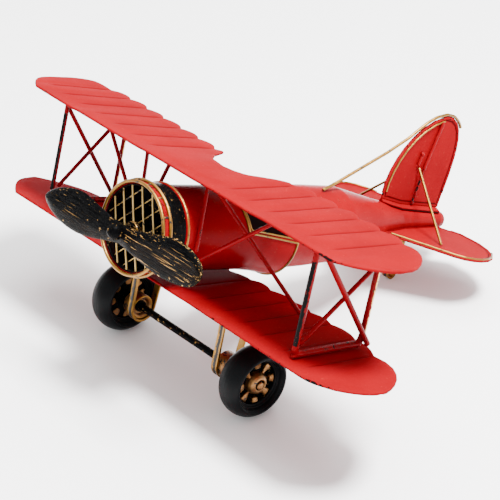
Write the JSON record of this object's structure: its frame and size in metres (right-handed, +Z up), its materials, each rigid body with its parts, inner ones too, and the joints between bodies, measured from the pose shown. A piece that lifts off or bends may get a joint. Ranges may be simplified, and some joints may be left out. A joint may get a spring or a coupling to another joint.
{
  "type": "decorative model biplane",
  "caption": "Painted sheet-metal model biplane with scalloped wings, wire bracing, ringed engine cowl, spinning propeller and turning wheels.",
  "frame": {"origin": "on the floor, under the middle of the bounding box", "axes": "+X to the model's port side along the wings, -Y towards the propeller, +Z up"},
  "size_m": [0.3084, 0.2653, 0.1334],
  "materials": {
    "red_paint": "semi-gloss red enamel, worn to metal at edges",
    "worn_black": "glossy black enamel brushed with bronze",
    "brass": "aged",
    "bronze": "dull bronze",
    "rubber": "matt black"
  },
  "bodies": {
    "airframe": {"upper_wing": "red_paint", "lower_wing": "red_paint", "fuselage_shell": "red_paint", "rear_fuselage": "red_paint", "cowl_band": "red_paint", "fin": "red_paint", "fin_base": "red_paint", "port_tailplane": "red_paint", "starboard_tailplane": "red_paint", "port_front_strut": "red_paint", "port_strut_foot": "red_paint", "port_rear_strut": "red_paint", "port_rising_brace": "red_paint", "port_falling_brace": "red_paint", "port_centre_strut": "red_paint", "port_inner_brace": "red_paint", "port_outer_brace": "red_paint", "port_axle_drum": "bronze", "port_axle_leg": "brass", "port_tail_stay": "brass", "starboard_front_strut": "red_paint", "starboard_strut_foot": "red_paint", "starboard_rear_strut": "red_paint", "starboard_rising_brace": "red_paint", "starboard_falling_brace": "red_paint", "starboard_centre_strut": "red_paint", "starboard_inner_brace": "red_paint", "starboard_outer_brace": "red_paint", "starboard_axle_drum": "bronze", "starboard_axle_leg": "brass", "starboard_tail_stay": "brass", "axle": "worn_black", "cowl_drum": "worn_black", "cowl_front_ring": "brass", "cowl_second_ring": "brass", "cowl_rear_ring": "brass", "grille": "brass", "fin_stay": "brass", "rudder_post": "red_paint", "tail_skid": "brass"},
    "port_wheel": {"port_tyre": "rubber", "port_wheel_hub": "bronze"},
    "starboard_wheel": {"starboard_tyre": "rubber", "starboard_wheel_hub": "bronze"},
    "propeller": {"propeller_blades": "worn_black", "propeller_nut": "worn_black", "propeller_shaft": "bronze"}
  },
  "joints": [
    {"name": "port_wheel_spin", "type": "hinge", "parent": "airframe", "child": "port_wheel", "pos_m": [0.05405, -0.0797, 0.021], "axis": [1, 0, 0], "continuous": true},
    {"name": "starboard_wheel_spin", "type": "hinge", "parent": "airframe", "child": "starboard_wheel", "pos_m": [-0.06235, -0.0797, 0.021], "axis": [1, 0, 0], "continuous": true},
    {"name": "propeller_spin", "type": "hinge", "parent": "airframe", "child": "propeller", "pos_m": [-0.00415, -0.12373, 0.10593], "axis": [0, -0.9419, 0.3359], "continuous": true}
  ]
}
